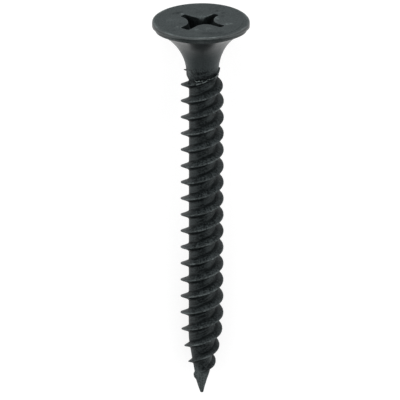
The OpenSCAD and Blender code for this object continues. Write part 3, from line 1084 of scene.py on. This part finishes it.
def phosphateMaterial():
    s = phosphateSizes
    material = bpy.data.materials.new("blackPhosphate")
    material.use_nodes = True
    tree = material.node_tree
    shader = tree.nodes["Principled BSDF"]
    coordinates = tree.nodes.new("ShaderNodeTexCoord")
    # Back from the floor to the screw's own frame, in millimetres
    mapping = addNode(tree, "ShaderNodeMapping", {"vector_type": "TEXTURE"},
                      Vector=coordinates.outputs["Object"])
    mapping.inputs["Location"].default_value = layDown.translation
    mapping.inputs["Rotation"].default_value = layDown.to_3x3().normalized().to_euler("XYZ")
    mapping.inputs["Scale"].default_value = (0.001, 0.001, 0.001)
    place = mapping.outputs[0]
    left, height = splitVector(tree, place)[1:]

    def lines(other, name):
        across, along, seed = s[name]
        node = addNode(tree, "ShaderNodeGroup", {"node_tree": linesGroup}, Place=place,
                       Other=other, Across=across, Along=along, Seed=seed)
        return Field(tree, node.outputs["Lines"])

    # Grain everywhere, lines along the axis under the head, round the axis in the root and
    # square to the crest on the flanks
    grainNode = addNode(tree, "ShaderNodeGroup", {"node_tree": coatingGrain()}, Place=place,
                        Grain_Scale=s["grainScale"], Cloud_Scale=s["cloudScale"])
    grain, clouds, specks = [Field(tree, output) for output in grainNode.outputs]
    linesGroup = drawnLines()
    fromCrest, flankFoot, threadHeight, under, flatFace, paintedShadeAndScuffs, wearAndHighlightMark = [
        attributeField(tree, name) for name in
        ("fromCrest", "flankFoot", "threadHeight", "underCrest", "flatFace", "paintedShadeAndScuffs", "wearAndHighlightMark")]
    onThread = step(tree, threadHeight, *s["threadRise"])
    onFlank = onThread * (1.0 - step(tree, fromCrest - flankFoot, *s["flankEnd"]))
    drawn = blend(grain, lines(height, "axialLines"), s["axialShare"])
    drawn = blend(drawn, lines(fromCrest + height * s["rolledSlant"], "rolledLines"), onThread)
    drawn = blend(drawn, blend(grain, lines(height, "flankLines"), s["flankShare"]), onFlank)
    drawn = blend(drawn, grain, flatFace)
    grainShare, cloudShare, lineShare = s["toneShares"]
    mixture = grain * grainShare + clouds * cloudShare + drawn * lineShare
    tone = step(tree, mixture, *s["toneRange"])

    # Each zone lies over the one before, and the grain makes the edges of some ragged
    raggedHeight = height + grain - 0.5
    zones = [
        ("underHead", step(tree, raggedHeight, *s["underHeadFrom"])),
        # Painted shade under the rim
        ("shadeUnderRim", step(tree, height, *s["shadeUnderRimFrom"])),
        ("point", 1.0 - step(tree, raggedHeight - left * s["pointSlant"], *s["pointBelow"])),
        ("flat", flatFace),
        # Painted shade and dark scuffs marked on the mesh
        ("paintedShadeAndScuffs", paintedShadeAndScuffs),
    ]
    dark, light, rough, specular = s["thread"].values()
    for name, mask in zones:
        zone = s[name]
        dark = mixColour(tree, mask, dark, zone["dark"])
        light = mixColour(tree, mask, light, zone["light"])
        rough = blend(rough, zone["roughness"], mask)
        specular = blend(specular, zone["specular"], mask)
    colour = mixColour(tree, tone, dark, light)

    # Painted shade in the corners at the foot of the flanks, patchy on the side towards the head,
    # where the whole flank also gets a little painted shade
    fromFoot = (fromCrest - flankFoot).calc("ABSOLUTE")
    patches = step(tree, clouds + grain * s["patchGrain"], *s["patchRange"])
    upper = 1.0 - step(tree, fromFoot, *s["upperCreviceShade"])
    upper = upper * blend(1.0 - s["patchDepth"], 1.0, patches)
    allOver, towardsPoint = s["upperFlankShade"]
    least = allOver + towardsPoint * (1.0 - step(tree, height, *s["upperFlankShadeFrom"]))
    lower = 1.0 - step(tree, fromFoot, *s["lowerCreviceShade"])
    corner = onThread * blend(upper.calc("MAXIMUM", least), lower * s["lowerShare"], under)
    # Painted shade in the corners, which also dulls the reflection there
    colour = mixColour(tree, corner * s["creviceShade"], colour, s["paintedShadeAndScuffs"]["dark"])
    specular = specular * (1.0 - corner * s["creviceShadeDullness"])

    # Rubbed wear with a painted highlight along the crests, and where the mesh is marked: lighter
    # strips, painted highlights on the leaves, lips and bevel, and light scuffs. Specks are painted
    # glints
    crestWearAndHighlight = step(tree, threadHeight, *s["crestRise"]) * (1.0 - step(tree, fromCrest, *s["crestLine"]))
    rubAndHighlight = (crestWearAndHighlight * blend(s["upperCrestRubAndHighlight"], 1.0, under)).calc("MAXIMUM", wearAndHighlightMark)
    grainShare, cloudShare = s["rubNoise"]
    patches = step(tree, grain * grainShare + clouds * cloudShare, *s["rubRange"])
    allOver, inPatches, asGlints = s["rubShares"]
    rubAndHighlight = rubAndHighlight * (allOver + inPatches * patches + asGlints * specks)
    colour = mixColour(tree, rubAndHighlight, colour, s["rubbedAndHighlight"])
    tree.links.new(colour, shader.inputs["Base Color"])

    # The coating is smoother under the head
    smooth = step(tree, height, *s["underHeadFrom"]) * (1.0 - flatFace) * s["underHeadSmoothness"]
    rough = rough + (tone - 0.5) * s["roughnessSpread"] * (1.0 - smooth)
    tree.links.new(rough.socket, shader.inputs["Roughness"])
    tree.links.new(specular.socket, shader.inputs["Specular IOR Level"])
    shader.inputs["Specular Tint"].default_value = s["specularTint"]
    relief = (grain + drawn * s["bumpLines"]) * (1.0 - smooth)
    bump = addNode(tree, "ShaderNodeBump", Height=relief, Strength=s["bumpStrength"],
                   Distance=s["bumpHeight"])
    tree.links.new(bump.outputs[0], shader.inputs["Normal"])
    return material


material = phosphateMaterial()
print("finish ready:", material.name)

shankMesh = runTree(threadedShankTree(shankSizes), shankSizes, material)
print("shank bent from bands:", len(shankMesh.vertices), "vertices before they are merged")

bm = bmesh.new()
bm.from_mesh(shankMesh)
# Marks for the finish: rubbed wear with painted highlights, the flat, and painted shade with dark scuffs
marks = [bm.verts.layers.float.get(name) or bm.verts.layers.float.new(name)
         for name in ("wearAndHighlightMark", "flatFace", "paintedShadeAndScuffs")]
makeHead(bm, marks)
weldDistance = 0.0002  # millimetres: only points that coincide are merged
bmesh.ops.remove_doubles(bm, verts=bm.verts, dist=weldDistance)
bmesh.ops.recalc_face_normals(bm, faces=bm.faces)
# The slivers and leaves stay apart from the rest, each closed in itself
for sliver in slivers:
    makeSliver(bm, sliver, marks[2])
for number, leaf in enumerate(leaves):
    makeLeaf(bm, leaf, number, marks[0], marks[2])
bmesh.ops.transform(bm, matrix=layDown, verts=bm.verts)
openEdges = sum(1 for edge in bm.edges if not edge.is_manifold)
for face in bm.faces:
    face.smooth = True
    face.material_index = 0  # the bands come with another slot's number
screwMesh = bpy.data.meshes.new("drywallScrew")
bm.to_mesh(screwMesh)
bm.free()
screwMesh.materials.append(material)
sharpAngle = math.radians(55)
screwMesh.set_sharp_from_angle(angle=sharpAngle)
screw = addObject("drywallScrew", screwMesh)
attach(screw, "root")
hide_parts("screw")
triangles = sum(len(polygon.vertices) - 2 for polygon in screwMesh.polygons)
print("screw welded:", triangles, "triangles,", openEdges, "open or crossed edges")


# The stage, metres
stageSizes = {
    "floorSize": 6.0,
    "floorColour": (0.4, 0.4, 0.4, 1),
    "floorRoughness": 0.9,
    "floorSpecular": 0.1,
    "floorGlow": 0.72,
    "worldStrength": 0.25,
    "lightAim": (0, 0, 0.004),
    "lights": [
        {"name": "leftBox", "place": (0.05, 0.55, 0.22), "size": (0.7, 0.45), "power": 3.0},
        {"name": "rightBox", "place": (0.05, -0.55, 0.22), "size": (0.7, 0.45), "power": 3.0},
        {"name": "headBox", "place": (0.6, 0.0, 0.3), "size": (0.6, 0.4), "power": 4.0},
    ],
}


def seenBy(tree, *rays):
    # 1 where one of these kinds of ray looks
    path = tree.nodes.new("ShaderNodeLightPath")
    seen = 0.0
    for ray in rays:
        seen = calc(tree, "MAXIMUM", seen, path.outputs[ray])
    return seen


def makeFloor():
    half = stageSizes["floorSize"] / 2
    mesh = bpy.data.meshes.new("floor")
    corners = [(-half, -half, 0), (half, -half, 0), (half, half, 0), (-half, half, 0)]
    mesh.from_pydata(corners, [], [(0, 1, 2, 3)])
    floor = addObject("floor", mesh)
    paint = bpy.data.materials.new("paleFloor")
    paint.use_nodes = True
    tree = paint.node_tree
    shader = tree.nodes["Principled BSDF"]
    shader.inputs["Base Color"].default_value = stageSizes["floorColour"]
    shader.inputs["Roughness"].default_value = stageSizes["floorRoughness"]
    shader.inputs["Specular IOR Level"].default_value = stageSizes["floorSpecular"]
    shader.inputs["Emission Color"].default_value = (1, 1, 1, 1)
    seen = seenBy(tree, "Is Camera Ray", "Is Glossy Ray", "Is Transmission Ray")
    tree.links.new((seen * stageSizes["floorGlow"]).socket, shader.inputs["Emission Strength"])
    mesh.materials.append(paint)


def makeWorld():
    world = bpy.data.worlds.new("studio")
    bpy.context.scene.world = world
    world.use_nodes = True
    tree = world.node_tree
    background = tree.nodes["Background"]
    background.inputs["Color"].default_value = (1, 1, 1, 1)
    seen = seenBy(tree, "Is Camera Ray", "Is Transmission Ray")
    strength = seen.calc("MAXIMUM", stageSizes["worldStrength"])
    tree.links.new(strength.socket, background.inputs["Strength"])


def makeLights():
    aim = Vector(stageSizes["lightAim"])
    for light in stageSizes["lights"]:
        data = bpy.data.lights.new(light["name"], "AREA")
        data.shape = "RECTANGLE"
        data.size, data.size_y = light["size"]
        data.energy = light["power"]
        lamp = addObject(light["name"], data)
        lamp.location = light["place"]
        lamp.rotation_euler = (aim - Vector(light["place"])).to_track_quat("-Z", "Y").to_euler()


# The photograph looks at the upright screw from a little above its head, so the camera looks
# down on the screw that lies, from the same side and height round it. The pixels are where the
# ends of the screw's axis lie in the photograph
cameraSizes = {
    "elevation": 21.95,
    "fieldWidth": 0.03204,
    "distance": 1.2,
    "clip": (0.01, 50),
    "sensor": 36.0,
    "photoSize": 400,
    "tipPixel": (201.8, 392.4),
    "headPixel": (202.4, 22.0),
}


def makeCamera():
    s = cameraSizes
    e = math.radians(s["elevation"])
    towards = (-downSide) * math.cos(e) + axis * math.sin(e)
    up = axis * math.cos(e) + downSide * math.sin(e)
    right = -sideways
    metresPerPixel = s["fieldWidth"] / s["photoSize"]
    middle = s["photoSize"] / 2
    tipX, tipY = s["tipPixel"]
    headX, headY = s["headPixel"]
    tip = layDown.translation
    # The point of the axis in the middle row of the picture, and how far it is off the middle
    share = (tipY - middle) / (tipY - headY)
    onAxis = tip.lerp(headCentre, share)
    offMiddle = tipX + (headX - tipX) * share - middle
    target = onAxis - right * offMiddle * metresPerPixel
    lean = math.atan2(headX - tipX, tipY - headY)
    roll = Matrix.Rotation(lean, 3, towards)
    data = bpy.data.cameras.new("camera")
    data.sensor_width = s["sensor"]
    data.lens = s["sensor"] * s["distance"] / s["fieldWidth"]
    data.clip_start, data.clip_end = s["clip"]
    camera = addObject("camera", data)
    turned = Matrix((roll @ right, roll @ up, towards)).transposed().to_4x4()
    turned.translation = target + towards * s["distance"]
    camera.matrix_world = turned
    bpy.context.scene.camera = camera


makeCamera()
makeFloor()
makeWorld()
makeLights()
bpy.context.scene.view_settings.view_transform = "Standard"
print("stage ready")
